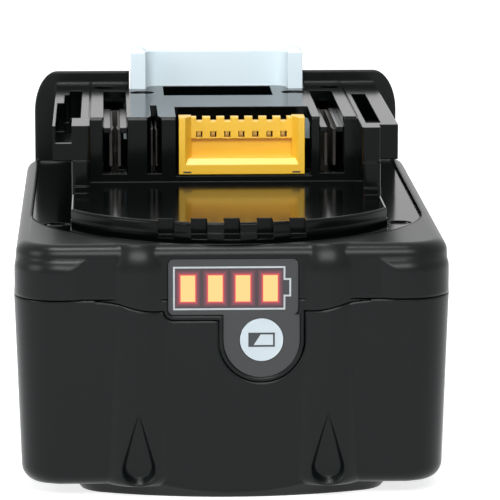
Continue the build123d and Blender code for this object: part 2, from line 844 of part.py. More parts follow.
def latch_hook():
    """White hook: a web with two forward posts, and spring towers under the deck."""
    post_inner = hook_half_width - hook_post_width
    hook = upright(hook_outline(0), hook_low_z, hook_top_z)
    hook = chamfer(hook.edges().group_by(Axis.Z)[-1].filter_by(GeomType.LINE), hook_top_round)
    hook -= slab((-post_inner, post_inner), (hook_front_y, hook_back_y + overrun),
                 (hook_web_top_z, hook_top_z + overrun))
    tower = slab((tower_inner_x, tower_outer_x), (tower_front_y, hook_back_y),
                 (hook_low_z, deck_under_z - slide_gap))
    hook += both_sides(tower)
    bore = peg(spring_x(), spring_y(), hook_low_z - overrun, spring_top_z,
               spring_outer_radius + spring_bore_clearance)
    hook -= both_sides(bore)
    for side in (-1, 1):
        hook -= pin_along_y(side * button_peg_x, button_peg_z(), hook_back_y - button_peg_length - fit_gap,
                            hook_back_y + overrun, button_peg_radius + thread_gap)
    return hook


def spring_x():
    """Distance of each latch spring from the middle."""
    return (tower_inner_x + tower_outer_x) / 2


def spring_y():
    """Depth of both latch springs."""
    return (tower_front_y + hook_back_y) / 2


def button_peg_z():
    """Height of the pegs that join the button to the hook."""
    return (button_cap_z + button_top_z) / 2


def release_button():
    """Release button: a cap behind the hook with a ribbed face that hangs over the finger wall."""
    face_near = button_far_y - button_face_thickness
    across = (-button_half_width, button_half_width)
    cap = slab(across, (button_near_y, button_far_y), (button_cap_z, button_top_z))
    face = slab(across, (face_near, button_far_y), (button_low_z, button_top_z))
    button = cap + face
    button = fillet(button.edges().filter_by(Axis.X).group_by(Axis.Y)[-1].group_by(Axis.Z)[-1], button_round)
    for index in range(button_rib_count):
        height = button_low_z + button_rib_pitch * (index + 1)
        button -= slab((-button_half_width + button_round, button_half_width - button_round),
                       (button_far_y - button_rib_depth, button_far_y + overrun),
                       (height - button_rib_width, height))
    for side in (-1, 1):
        button += pin_along_y(side * button_peg_x, button_peg_z(), hook_back_y - button_peg_length,
                              button_near_y + fit_gap, button_peg_radius)
    return button


def latch_spring(side):
    """Coil spring under the hook, drawn as the sleeve that its turns fill."""
    ring = Pos(side * spring_x(), spring_y()) * (Circle(spring_outer_radius) - Circle(spring_inner_radius))
    return upright(ring, spring_seat_z, spring_top_z)


def latch_frame():
    """Inner frame that seats the springs and hangs from the deck on two screws."""
    low = spring_seat_z - frame_thickness
    frame = slab((-frame_half_width, frame_half_width), (frame_front_y, frame_back_y), (low, spring_seat_z))
    frame += both_sides(peg(frame_screw_x, frame_screw_y, low, frame_post_top_z, frame_post_radius))
    frame += both_sides(peg(spring_x(), spring_y(), low, spring_seat_z + frame_peg_height, frame_peg_radius))
    depth = deck_under_z - deck_screw_length
    return frame - both_sides(peg(frame_screw_x, frame_screw_y, depth, frame_post_top_z + overrun,
                                  screw_radius + thread_gap))


def screw(x, y, head_low, shank_end):
    """Screw with a flat round head; the shank runs from the head to its end."""
    low, high = sorted((head_low, shank_end))
    head = peg(x, y, head_low, head_low + screw_head_height, screw_head_radius)
    if shank_end > head_low:
        head = peg(x, y, head_low - screw_head_height, head_low, screw_head_radius)
    return head + peg(x, y, low, high, screw_radius)


def case_screws():
    """Four long screws that enter from below."""
    return Compound([screw(x, y, case_screw_seat_z, case_screw_seat_z + case_screw_length)
                     for x, y in case_screw_places()])


def deck_screws():
    """Two screws through the deck into the latch frame."""
    head = deck_under_z - screw_head_height
    return Compound([screw(side * frame_screw_x, frame_screw_y, head, deck_under_z - deck_screw_length)
                     for side in (-1, 1)])


def well_screws():
    """Two short screws from the trough into the cell holders."""
    return Compound([screw(side * well_x, well_y, screw_well_floor_z, screw_well_floor_z - well_screw_length)
                     for side in (-1, 1)])


def connector_block():
    """Yellow connector: a stepped recess with a notched comb and a row of contact windows."""
    left, right = connector_left_x, connector_right_x
    front = connector_front_y
    comb_y = front + comb_front_depth
    comb_back = comb_y + comb_thickness
    body = slab((left, right), (front, comb_back), (connector_sill_z, connector_top_z))
    inner = (left + connector_side + connector_bevel, right - connector_side - connector_bevel)
    mouth = Polyline((left + connector_side, front), (inner[0], comb_y), (inner[1], comb_y),
                     (right - connector_side, front), close=True)
    body -= upright(make_face(mouth), connector_shelf_z, connector_top_z + overrun)
    body -= slab((left + connector_side, right - connector_side), (front - overrun, front + thread_gap),
                 (connector_shelf_z, connector_top_z + overrun))
    body -= slab(inner, (comb_y - overrun, comb_y + comb_thickness / 2),
                 (connector_shelf_z, connector_comb_z))
    body -= slab(inner, (comb_y - overrun, comb_back + overrun), (comb_top_z, connector_top_z + overrun))
    sill = body.edges().filter_by(Axis.X).group_by(Axis.Y)[0].filter_by_position(
        Axis.Z, connector_shelf_z - thread_gap, connector_shelf_z + thread_gap)
    body = chamfer(sill, connector_bevel)
    for x in pin_places:
        window = (x - pin_window / 2, x + pin_window / 2)
        body -= slab(window, (comb_y - overrun, comb_back + overrun),
                     (pin_window_z - pin_window / 2, pin_window_z + pin_window / 2))
        body -= slab(window, (comb_y - overrun, comb_back + overrun),
                     (comb_top_z - comb_notch_depth, comb_top_z + overrun))
    base = slab(inner, (block_front_y + wall + fit_gap, front + connector_base_depth),
                (board_top_z, connector_shelf_z))
    return body + base - connector_slots()


def connector_slots():
    """Slots in the connector's base that the contacts stand in."""
    cuts = None
    for x in pin_places:
        cut = slab((x - contact_half_width - thread_gap, x + contact_half_width + thread_gap),
                   (contact_front_y() - thread_gap, contact_front_y() + contact_thickness + thread_gap),
                   (board_top_z - overrun, connector_shelf_z + overrun))
        cuts = cut if cuts is None else cuts + cut
    return cuts


def contact_front_y():
    """Depth at which the contacts stand behind the comb."""
    return connector_front_y + comb_front_depth + comb_thickness + thread_gap


def connector_contacts():
    """Seven flat contacts that stand on the board behind the comb."""
    near = contact_front_y()
    return Compound([slab((x - contact_half_width, x + contact_half_width), (near, near + contact_thickness),
                          (board_top_z, contact_top_z)) for x in pin_places])


def clip(middle, scale, low, high):
    """Spring clip seen from above: two leaves that pinch and then flare towards the front."""
    length = clip_back_y - clip_front_y
    pinch_y = clip_front_y + clip_pinch_share * length
    mouth_y = clip_front_y + clip_mouth_share * length
    flare_x, pinch_x, leaf_x = (middle + reach * scale for reach in (clip_flare_x, clip_pinch_x, clip_leaf_x))
    centre_line = FilletPolyline((flare_x, clip_front_y), (pinch_x, pinch_y), (leaf_x, mouth_y),
                                 (leaf_x, clip_back_y), radius=length * clip_pinch_share * clip_pinch_share)
    leaf = upright(trace(centre_line, clip_leaf * scale), low, high)
    other = mirror(leaf, about=Plane(origin=(middle, 0, 0), z_dir=(1, 0, 0)))
    bridge_y = (clip_back_y - clip_leaf, clip_back_y)
    bridge = slab((middle - clip_leaf_x * scale, middle + clip_leaf_x * scale), bridge_y, (low, high))
    return leaf + other + bridge


def power_terminal(side):
    """Power clip on a broad base that is soldered to the board."""
    middle = side * slot_x
    inner = side * (board_half_width - clip_base_width)
    outer = side * board_half_width
    far = clip_back_y
    base = slab(sorted((inner, outer)), (far - clip_base_length, far),
                (board_top_z, board_top_z + clip_base_thickness))
    stem = slab((middle - clip_leaf_x, middle + clip_leaf_x), (far - clip_base_length / 2, far),
                (board_top_z, clip_low_z + fit_gap))
    return base + stem + clip(middle, 1, clip_low_z, clip_top_z)


def signal_terminal():
    """Small clip behind the thin slot."""
    scale = signal_clip_scale_share
    depth = (clip_back_y - clip_base_length / 2, clip_back_y)
    stem = slab((signal_x - clip_leaf_x * scale, signal_x + clip_leaf_x * scale), depth,
                (board_top_z, clip_low_z + fit_gap))
    return stem + clip(signal_x, scale, clip_low_z, clip_top_z)


def control_board():
    """Flat control board, rounded at the corners."""
    length = board_back_y - board_front_y
    outline = RectangleRounded(2 * board_half_width, length, board_corner)
    outline = Pos(0, (board_back_y + board_front_y) / 2) * outline
    return upright(outline, board_under_z, board_under_z + board_thickness)


def board_parts():
    """Switching transistors, controller chip and fuse on the control board."""
    sizes = component_sizes()
    return Compound([slab((x - width / 2, x + width / 2), (y - depth / 2, y + depth / 2),
                          (board_top_z, board_top_z + height)) for x, y, width, depth, height in sizes])


def component_sizes():
    """Rows of x, y, width, depth and height for the parts on the board."""
    rows = [(transistor_pitch * (index - (transistor_count - 1) / 2), transistor_y, *transistor_size)
            for index in range(transistor_count)]
    rows.append((chip_x, board_back_y - chip_from_back, *chip_size))
    rows.append((fuse_x, board_back_y - fuse_from_back, *fuse_size))
    return rows


def cell_layer(height):
    """Five round cells, each with its raised positive cap, facing alternate ways."""
    cells = []
    for index, y in enumerate(cell_rows):
        side = 1 if index % 2 else -1
        plane = Plane(origin=(-side * cell_length / 2, y, height), x_dir=(0, 1, 0), z_dir=(side, 0, 0))
        can = extrude(plane * Circle(cell_radius), cell_length - cell_cap_height)
        cap = extrude(plane * Circle(cell_cap_radius), cell_length)
        cells.append(can + cap)
    return Compound(cells)


def cell_holder(side):
    """Moulded holder with ten bores, board standoffs and a screw post."""
    inner, outer = side * holder_inner_x, side * holder_outer_x
    body = slab(sorted((inner, outer)), (holder_front_y, holder_back_y), (holder_under_z, holder_top_z))
    for height in (lower_cell_z, upper_cell_z):
        for y in cell_rows:
            plane = Plane(origin=(0, y, height), x_dir=(0, 1, 0), z_dir=(side, 0, 0))
            body -= extrude(plane * Circle(cell_radius + bore_gap), cell_length / 2)
            window = plane * Rectangle(holder_window_width, holder_window_width)
            body -= extrude(window, holder_outer_x + overrun)
    for y in (valleys[0], valleys[-1]):
        across = (y - standoff_half_width, y + standoff_half_width)
        body += slab(sorted((side * standoff_inner_x, inner + side * overrun)), across,
                     (standoff_low_z, holder_top_z))
        body += slab(sorted((side * standoff_inner_x, side * board_half_width)), across,
                     (holder_top_z, board_under_z))
    body += peg(side * well_x, well_y, standoff_low_z, trough_z - ceiling, screw_radius + 2 * fit_gap)
    return body - peg(side * well_x, well_y, screw_well_floor_z - well_screw_length - fit_gap, trough_z,
                      screw_radius + thread_gap)


def bus_strips(side):
    """Nickel strips that link the cell rows at one end, with tabs that reach the board."""
    starts = range(0 if side > 0 else -1, cell_count, 2)
    groups = [(max(start, 0), min(start + 1, cell_count - 1)) for start in starts]
    low, high = lower_cell_z - strip_width / 2, upper_cell_z + strip_width / 2
    inner, outer = side * holder_outer_x, side * strip_outer_x
    strips = []
    for first, last in groups:
        near, far = cell_rows[first] - strip_width / 2, cell_rows[last] + strip_width / 2
        plate = slab(sorted((inner, outer)), (near, far), (low, high))
        tab = (cell_rows[first] - strip_tab_width / 2, cell_rows[first] + strip_tab_width / 2)
        plate += slab(sorted((inner, outer)), tab, (high - overrun, strip_tab_z + strip_thickness))
        plate += slab(sorted((side * strip_tab_inner_x, outer)), tab,
                      (strip_tab_z, strip_tab_z + strip_thickness))
        strips.append(plate)
    return Compound(strips)


def insulating_sheet(side):
    """Thin insulating sheet between the strips and the housing wall."""
    faces = sorted((side * strip_outer_x, side * sheet_outer_x))
    return slab(faces, (holder_front_y + sheet_margin, holder_back_y - sheet_margin),
                (holder_under_z + sheet_margin, holder_top_z - sheet_margin))


def damping_pads():
    """Soft strips between the cell holders and the housing floor."""
    middle = (holder_inner_x + holder_outer_x) / 2
    pad = slab((middle - pad_width / 2, middle + pad_width / 2),
               (holder_front_y + sheet_margin, holder_back_y - sheet_margin), (inner_floor_z, holder_under_z))
    return Compound([pad, mirror(pad, about=Plane.YZ)])


def thermistor():
    """Temperature sensor between two cells, under the board."""
    width, depth = thermistor_size
    return slab((-width / 2, width / 2), (valleys[1] - depth / 2, valleys[1] + depth / 2),
                (board_under_z - thermistor_height, board_under_z))


def gauge_board():
    """Small upright board behind the gauge."""
    outline = Pos(0, (gauge_board_low_z + gauge_board_high_z) / 2) * Rectangle(
        2 * gauge_board_half_width, gauge_board_high_z - gauge_board_low_z)
    return facing(outline, gauge_board_y, gauge_board_y + gauge_board_thickness)


def gauge_leds():
    """Four lamps on the gauge board."""
    height = (lamp_low_z + lamp_high_z) / 2
    lamps = []
    for index in range(lamp_count):
        middle = lamp_first_x + lamp_pitch * index + lamp_width / 2
        lamps.append(slab((middle - led_width / 2, middle + led_width / 2), (led_front_y, gauge_board_y),
                          (height - led_height / 2, height + led_height / 2)))
    return Compound(lamps)


def light_guide():
    """Clear guide with four blocks that fill the lamp windows."""
    right = lamp_first_x + lamp_pitch * (lamp_count - 1) + lamp_width
    guide = slab((lamp_first_x, right), (tab_inner_y + fit_gap, led_front_y),
                 (guide_bar_low_z, guide_bar_high_z))
    for index in range(lamp_count):
        left = lamp_first_x + lamp_pitch * index
        guide += slab((left, left + lamp_width), (label_floor_y, led_front_y), (lamp_low_z, lamp_high_z))
    return guide


def gauge_label():
    """Printed film over the gauge, with a hole for the check button."""
    film = facing(label_outline(0), label_floor_y - label_thickness, label_floor_y)
    return film - pin_along_y(tongue_x, tongue_z, face_y - overrun, label_floor_y + overrun,
                              check_radius + check_hole_gap)


def check_button():
    """Round check button with a stem and a flange that keeps it in."""
    front = label_floor_y - label_thickness
    flange = tab_inner_y + fit_gap
    button = pin_along_y(tongue_x, tongue_z, front, front + check_disc_thickness, check_radius)
    button += pin_along_y(tongue_x, tongue_z, front, plunger_front_y(), check_stem_radius)
    return button + pin_along_y(tongue_x, tongue_z, flange, flange + check_flange_thickness,
                                check_flange_radius)


def plunger_front_y():
    """Depth where the stem meets the switch plunger."""
    return gauge_board_y - plunger_length - check_travel


def check_switch():
    """Body of the small push switch, with the bore of its plunger."""
    half = switch_size / 2
    body = slab((tongue_x - half, tongue_x + half), (gauge_board_y - switch_height, gauge_board_y),
                (tongue_z - half, tongue_z + half))
    return body - pin_along_y(tongue_x, tongue_z, gauge_board_y - switch_height - overrun,
                              gauge_board_y + overrun, plunger_radius + plunger_bore_gap)


def switch_plunger():
    """Plunger that the check button pushes into the switch."""
    near = plunger_front_y()
    return pin_along_y(tongue_x, tongue_z, near, near + plunger_length, plunger_radius)


def gauge_ribbon():
    """Flat cable from the control board to the back of the gauge board."""
    top = board_top_z + ribbon_thickness / 2
    back = gauge_board_y + gauge_board_thickness + ribbon_thickness / 2
    path = FilletPolyline((board_front_y + ribbon_step, top), (board_front_y - ribbon_step, top),
                          (board_front_y - 2 * ribbon_step, ribbon_mid_z), (back + ribbon_step, ribbon_mid_z),
                          (back, ribbon_mid_z - ribbon_step), (back, ribbon_low_z), radius=ribbon_bend)
    plane = Plane(origin=(-ribbon_width / 2, 0, 0), x_dir=(0, 1, 0), z_dir=(1, 0, 0))
    return extrude(plane * trace(path, ribbon_thickness), ribbon_width)


def pieces():
    """Every piece of the pack by its node name."""
    return {
        "lower_case": lower_case(),
        "upper_case": upper_case(),
        "latch_hook": latch_hook(),
        "release_button": release_button(),
        "latch_spring_left": latch_spring(-1),
        "latch_spring_right": latch_spring(1),
        "latch_frame": latch_frame(),
        "case_screws": case_screws(),
        "deck_screws": deck_screws(),
        "well_screws": well_screws(),
        "connector_block": connector_block(),
        "connector_contacts": connector_contacts(),
        "positive_terminal": power_terminal(1),
        "negative_terminal": power_terminal(-1),
        "signal_terminal": signal_terminal(),
        "control_board": control_board(),
        "board_parts": board_parts(),
        "cells_lower": cell_layer(lower_cell_z),
        "cells_upper": cell_layer(upper_cell_z),
        "cell_holder_left": cell_holder(-1),
        "cell_holder_right": cell_holder(1),
        "bus_strips_left": bus_strips(-1),
        "bus_strips_right": bus_strips(1),
        "insulating_sheet_left": insulating_sheet(-1),
        "insulating_sheet_right": insulating_sheet(1),
        "damping_pads": damping_pads(),
        "thermistor": thermistor(),
        "gauge_board": gauge_board(),
        "gauge_leds": gauge_leds(),
        "light_guide": light_guide(),
        "gauge_label": gauge_label(),
        "check_button": check_button(),
        "check_switch": check_switch(),
        "switch_plunger": switch_plunger(),
        "gauge_ribbon": gauge_ribbon(),
    }


os.makedirs("parts", exist_ok=True)
for node, shape in pieces().items():
    export_step(shape, f"parts/{node}.step")
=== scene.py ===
import json
from math import cos, pi, radians, sin

import bmesh
import bpy
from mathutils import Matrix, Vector


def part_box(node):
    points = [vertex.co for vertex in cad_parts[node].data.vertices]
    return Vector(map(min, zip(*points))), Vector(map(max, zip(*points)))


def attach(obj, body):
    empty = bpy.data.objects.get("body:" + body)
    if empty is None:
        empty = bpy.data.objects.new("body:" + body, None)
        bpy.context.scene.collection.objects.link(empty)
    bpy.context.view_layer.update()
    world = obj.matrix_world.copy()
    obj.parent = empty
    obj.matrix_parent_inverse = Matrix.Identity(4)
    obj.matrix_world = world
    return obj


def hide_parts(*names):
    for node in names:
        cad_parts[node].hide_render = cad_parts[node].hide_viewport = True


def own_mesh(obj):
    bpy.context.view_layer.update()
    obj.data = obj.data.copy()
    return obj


# A slide-on battery pack with a lit charge gauge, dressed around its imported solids.
# Lengths are written in millimetres and turned to metres by mm().

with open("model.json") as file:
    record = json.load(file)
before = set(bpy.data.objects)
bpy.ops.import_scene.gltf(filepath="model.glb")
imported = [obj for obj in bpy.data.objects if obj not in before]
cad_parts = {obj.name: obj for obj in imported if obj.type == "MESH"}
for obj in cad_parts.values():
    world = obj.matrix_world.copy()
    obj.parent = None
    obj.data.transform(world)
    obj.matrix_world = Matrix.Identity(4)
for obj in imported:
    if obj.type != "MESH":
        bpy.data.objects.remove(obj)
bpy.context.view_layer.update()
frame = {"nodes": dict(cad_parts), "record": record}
nodes = frame["nodes"]
scene = bpy.context.scene
MILLIMETRE = 0.001

# The sRGB curve
srgb_knee = 0.04045
srgb_slope = 12.92
srgb_offset = 0.055
srgb_power = 2.4

# Camera, fitted to the photograph's outline
camera_place = (-21.4, -699.0, 151.0)
camera_tilt = 80.57
camera_turn = -2.16
camera_lens = 272.7
sensor_width = 36.0
clip_near = 10.0
clip_far = 20000.0

# Gauge print, seen from the front
outline_left = -10.4
outline_right = 9.0
outline_low = 33.5
outline_high = 41.1
outline_width = 0.3
nub_reach = 1.0
nub_low = 35.8
nub_high = 39.0
lamp_count = 4
lamp_pitch = 4.76
lamp_width = 2.5
lamp_first = -9.1
lamp_low = 34.97
lamp_high = 39.55
glow_reach = 1.1
glow_core = 0.35
print_thickness = 0.03
tongue_x = 4.9
tongue_z = 28.2
pictogram_width = 4.6
pictogram_height = 2.5
pictogram_line = 0.32
pictogram_slant = 1.2

# Coil springs and screws
spring_turns = 7.5
spring_wire = 0.5
turn_segments = 28
wire_sides = 10
screw_head_radius = 2.0
screw_head_height = 1.5
screw_shank_radius = 1.1
screw_point_length = 1.4
screw_point_share = 0.35
thread_pitch = 0.9
thread_depth = 0.14
pan_side_share = 0.45
pan_high_share = 0.85
pan_round_share = 0.9
pan_top_share = 0.72
drive_radius = 1.05
drive_depth = 0.8
drive_lobes = 6
drive_lobe_share = 0.16
ring_points = 36

# Where the upper housing's tool is polished: a round-nosed field over the trough, as far as the far housing
polish_radius = 35.4
polish_nose_y = -19.0
polish_back_y = 50.9
polish_low_z = 44.0

# How squarely a face looks sideways where it counts as the end of a cell
end_facing = 0.9

# Marks of the connector's sill
sill_mark_width = 1.5
sill_mark_height = 0.3
sill_mark_inset = 0.8
sill_mark_rise = 0.25

# Size, depth and strength of each surface's grain, and how far the light sees its edges rounded
fine_grain = 0.45
broad_grain = 0.9
case_grain_depth = 0.02
case_grain_strength = 0.45
case_edge = 0.8
deck_grain_depth = 0.004
deck_grain_strength = 0.15
soft_edge = 0.25
smooth_grain_depth = 0.003
smooth_grain_strength = 0.1
film_grain_depth = 0.004
film_grain_strength = 0.12
board_grain_depth = 0.01
board_grain_strength = 0.2
grain_detail = 3.0
bevel_samples = 8

# Refractive indices
nylon_index = 1.53
acetal_index = 1.48
polyester_index = 1.55
polycarbonate_index = 1.58
styrene_index = 1.53
epoxy_index = 1.5
acrylic_index = 1.49

# Sockets of the colour mix node
mix_factor = 0
mix_first_colour = 6
mix_second_colour = 7
mix_result = 2

# Second finish of a node, after its own
second_finish = 1

# Floor, surroundings and soft lights: place, width and height in millimetres, power in watts
floor_reach = 6000.0
floor_lift = 0.78
world_light = 0.3
world_backdrop = 1.0
light_aim = (0, 0, 40)
soft_lights = {
    "overhead": {"place": (-100, -200, 900), "width": 300, "height": 250, "power": 4.5},
    "left_side": {"place": (-700, -300, 350), "width": 400, "height": 400, "power": 2.0},
    "front_softbox": {"place": (0, -740, 560), "width": 600, "height": 320, "power": 5.4},
}


def mm(*lengths):
    """Millimetres as metres, one value or a vector."""
    metres = [length * MILLIMETRE for length in lengths]
    return metres[0] if len(metres) == 1 else Vector(metres)


def colour(hex_text):
    """An sRGB hex value as linear red, green, blue and alpha."""
    channels = [value / 255 for value in bytes.fromhex(hex_text.lstrip("#"))]
    linear = [((value + srgb_offset) / (1 + srgb_offset)) ** srgb_power if value > srgb_knee
              else value / srgb_slope for value in channels]
    return (*linear, 1.0)


def add_node(tree, kind, values=None, links=None, **settings):
    """Adds a node with its settings, its input values and the sockets linked to its inputs."""
    node = tree.nodes.new(kind)
    for name, value in settings.items():
        setattr(node, name, value)
    for name, value in (values or {}).items():
        node.inputs[name].default_value = value
    for name, socket in (links or {}).items():
        tree.links.new(socket, node.inputs[name])
    return node


# Materials


def finish(name, base, roughness, **values):
    """A material with one principled shader, and that shader. A value's name is its socket's."""
    material = bpy.data.materials.new(name)
    material.use_nodes = True
    shader = material.node_tree.nodes["Principled BSDF"]
    shader.inputs["Base Color"].default_value = colour(base)
    shader.inputs["Roughness"].default_value = roughness
    for socket, value in values.items():
        shader.inputs[socket.replace("_", " ")].default_value = value
    return material, shader


def place_socket(tree):
    """The piece's own coordinates, in metres."""
    return add_node(tree, "ShaderNodeTexCoord").outputs["Object"]


def add_grain(material, shader, size, depth, strength, edge=0.0):
    """Fine moulded grain of a real size, over softly rounded edges."""
    tree = material.node_tree
    noise = add_node(tree, "ShaderNodeTexNoise", {"Scale": 1 / mm(size), "Detail": grain_detail},
                     {"Vector": place_socket(tree)})
    links = {"Height": noise.outputs["Fac"]}
    if edge:
        rounded = add_node(tree, "ShaderNodeBevel", {"Radius": mm(edge)}, samples=bevel_samples)
        links["Normal"] = rounded.outputs["Normal"]
    bump = add_node(tree, "ShaderNodeBump", {"Distance": mm(depth), "Strength": strength}, links)
    tree.links.new(bump.outputs["Normal"], shader.inputs["Normal"])


def case_nylon():
    """Glass-filled nylon from an eroded tool: satin black, its fine grain shading half of its shine."""
    material, shader = finish("glass_filled_nylon", "#060a0a", roughness=0.3, IOR=nylon_index,
                              Specular_IOR_Level=0.17)
    add_grain(material, shader, fine_grain, case_grain_depth, case_grain_strength, case_edge)
    return material


def deck_nylon():
    """The same nylon from a polished tool: glossy black that faintly mirrors what is near."""
    material, shader = finish("polished_nylon", "#040606", roughness=0.12, IOR=nylon_index,
                              Specular_IOR_Level=0.09)
    add_grain(material, shader, broad_grain, deck_grain_depth, deck_grain_strength, soft_edge)
    return material


def hook_acetal():
    """Natural acetal: bluish white, smooth and slightly waxy."""
    material, shader = finish("white_acetal", "#e4f3fa", roughness=0.3, IOR=acetal_index)
    add_grain(material, shader, broad_grain, smooth_grain_depth, smooth_grain_strength, soft_edge)
    return material


def connector_polyester():
    """Yellow PBT polyester: smooth, with a soft gloss."""
    material, shader = finish("yellow_polyester", "#f0be36", roughness=0.32, IOR=polyester_index)
    add_grain(material, shader, broad_grain, smooth_grain_depth, smooth_grain_strength, soft_edge)
    return material


def label_film():
    """Polycarbonate film printed dark grey on its back: fine matt front."""
    material, shader = finish("printed_film", "#17191b", roughness=0.45, IOR=polycarbonate_index)
    add_grain(material, shader, fine_grain, film_grain_depth, film_grain_strength)
    return material


def white_ink():
    """Screen-printed white ink: flat and opaque."""
    return finish("white_ink", "#b4babd", roughness=0.5)[0]


def dark_ink():
    """Screen-printed dark ink of the pictogram."""
    return finish("dark_ink", "#2c3134", roughness=0.5)[0]


def lamp_glow():
    """Lit lamp window: warm white with a yellow cast."""
    return finish("lit_window", "#4a3c1c", roughness=0.4, Emission_Color=colour("#fbd98a"),
                  Emission_Strength=0.9)[0]


def glow_panel():
    """Dark film round the lamps, tinted red by the light that leaks past their edges."""
    material, shader = finish("glowing_film", "#33262c", roughness=0.38)
    tree = material.node_tree
    place = add_node(tree, "ShaderNodeSeparateXYZ", links={"Vector": place_socket(tree)})
    middle = mm((lamp_low + lamp_high) / 2)
    shifted = add_node(tree, "ShaderNodeMath", {1: mm(lamp_first + lamp_width / 2 - lamp_pitch / 2)},
                       {0: place.outputs["X"]}, operation="SUBTRACT")
    wrapped = add_node(tree, "ShaderNodeMath", {1: mm(lamp_pitch)}, {0: shifted.outputs[0]},
                       operation="FLOORED_MODULO")
    across = distance_past(tree, wrapped.outputs[0], mm(lamp_pitch / 2), mm(lamp_width / 2))
    up = distance_past(tree, place.outputs["Z"], middle, mm((lamp_high - lamp_low) / 2))
    away = add_node(tree, "ShaderNodeMath", links={0: across, 1: up}, operation="MAXIMUM").outputs[0]
    glow = fading(tree, away, glow_reach, "SMOOTHSTEP")
    core = fading(tree, away, glow_core, "LINEAR")
    tints = {mix_first_colour: colour("#8a3040"), mix_second_colour: colour("#ff3838")}
    red = add_node(tree, "ShaderNodeMix", tints, {mix_factor: core}, data_type="RGBA")
    tree.links.new(red.outputs[mix_result], shader.inputs["Emission Color"])
    tree.links.new(glow, shader.inputs["Emission Strength"])
    return material


def fading(tree, distance, reach, interpolation):
    """1 at no distance, falling to 0 at a reach in millimetres."""
    ends = {"From Min": 0.0, "From Max": mm(reach), "To Min": 1.0, "To Max": 0.0}
    faded = add_node(tree, "ShaderNodeMapRange", ends, {"Value": distance}, interpolation_type=interpolation)
    return faded.outputs["Result"]


def distance_past(tree, socket, middle, half):
    """How far a coordinate lies beyond a half width from a middle."""
    offset = add_node(tree, "ShaderNodeMath", {1: middle}, {0: socket}, operation="SUBTRACT")
    size = add_node(tree, "ShaderNodeMath", links={0: offset.outputs[0]}, operation="ABSOLUTE")
    past = add_node(tree, "ShaderNodeMath", {1: half}, {0: size.outputs[0]}, operation="SUBTRACT")
    return past.outputs[0]


def steel(name, base, roughness):
    """Plated or drawn steel."""
    return finish(name, base, roughness, Metallic=1.0)[0]


def clear_guide():
    """Clear acrylic light guide."""
    return finish("clear_acrylic", "#f4f6f6", roughness=0.1, IOR=acrylic_index, Transmission_Weight=0.9)[0]


def board_laminate():
    """Epoxy glass laminate under green solder mask."""
    material, shader = finish("solder_mask", "#1c5a34", roughness=0.3, IOR=epoxy_index)
    add_grain(material, shader, broad_grain, board_grain_depth, board_grain_strength)
    return material


def make_materials():
    """Every finish by the name of the record's slot."""
    return {
        "case_black": case_nylon(),
        "deck_black": case_nylon(),
        "button_black": case_nylon(),
        "white_nylon": hook_acetal(),
        # Drawn wire: bright, slightly blue steel
        "spring_steel": steel("spring_wire", "#b9b9bd", roughness=0.3),
        # Zinc plate: pale grey and a little duller than the wire
        "screw_steel": steel("zinc_plated_steel", "#a4a4a6", roughness=0.35),
        "connector_yellow": connector_polyester(),
        # Plated brass: warm yellow metal
        "contact_brass": steel("plated_brass", "#c9a35c", roughness=0.3),
        # Tinned bronze, rubbed by the tool's blades: dark brownish grey with a broad sheen
        "terminal_steel": steel("tinned_bronze", "#55524f", roughness=0.5),
        "board_green": board_laminate(),
        # Moulded epoxy of the components: matt charcoal
        "component_black": finish("moulded_epoxy", "#202122", roughness=0.5)[0],
        # Shrunk sleeve of the cells: smooth blue film
        "cell_sleeve": finish("shrink_sleeve", "#3f8fb4", roughness=0.3)[0],
        # Flame-retardant blend of the cell holders: plain mid grey
        "holder_grey": finish("flame_retardant_blend", "#5a5b5d", roughness=0.5)[0],
        # Nickel-plated strip: pale, slightly warm metal
        "nickel_strip": steel("nickel_plated_strip", "#c4bfb2", roughness=0.3),
        # Pressed paper: dull straw colour
        "insulating_paper": finish("pressed_paper", "#bdb59f", roughness=0.8)[0],
        # Closed-cell foam: dull black
        "pad_foam": finish("closed_cell_foam", "#2a2a2a", roughness=0.9)[0],
        # Cast lens of a lit lamp: glowing orange
        "led_red": finish("lamp_lens", "#ff8a5a", roughness=0.3, Emission_Color=colour("#ff9a50"),
                          Emission_Strength=1.0)[0],
        "clear_plastic": clear_guide(),
        "label_film": label_film(),
        # Moulded ABS: cool off-white with a soft gloss
        "white_button": finish("white_abs", "#bfcad0", roughness=0.35, IOR=styrene_index)[0],
        # Moulded switch housing: matt black
        "switch_black": finish("switch_housing", "#232323", roughness=0.5)[0],
        # Jacket of the flat cable: plain pale grey
        "ribbon_white": finish("flat_cable_jacket", "#d5d6d6", roughness=0.5)[0],
    }


finishes = make_materials()
polished = deck_nylon()
# Screw steel painted near-black for the deck and well screws: painted shade, so their heads look as dark as
# the shade in their holes.
screw_steel_in_painted_shade = steel("blackened_steel", "#2b2c2e", roughness=0.35)


def node_slots():
    """Material slot of every node, as the record gives it."""
    return {row["node"]: row["material_slot"] for row in frame["record"]["subparts"]}


def paint_nodes():
    """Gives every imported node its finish."""
    for node, slot in node_slots().items():
        mesh = nodes[node].data
        mesh.materials.clear()
        mesh.materials.append(finishes[slot])


def in_polished_deck(centre):
    """Whether a face of the upper housing lies in the polished part of its tool."""
    x, y, z = (value / MILLIMETRE for value in centre)
    ahead = min(y - polish_nose_y, 0)
    inside = y < polish_back_y and (x * x + ahead * ahead) ** 0.5 < polish_radius
    return inside and z > polish_low_z


def polish_deck():
    """Polished finish for the trough, plateau, rails and terminal deck."""
    mesh = nodes["upper_case"].data
    mesh.materials.append(polished)
    for face in mesh.polygons:
        if in_polished_deck(face.center):
            face.material_index = second_finish


# Printed gauge


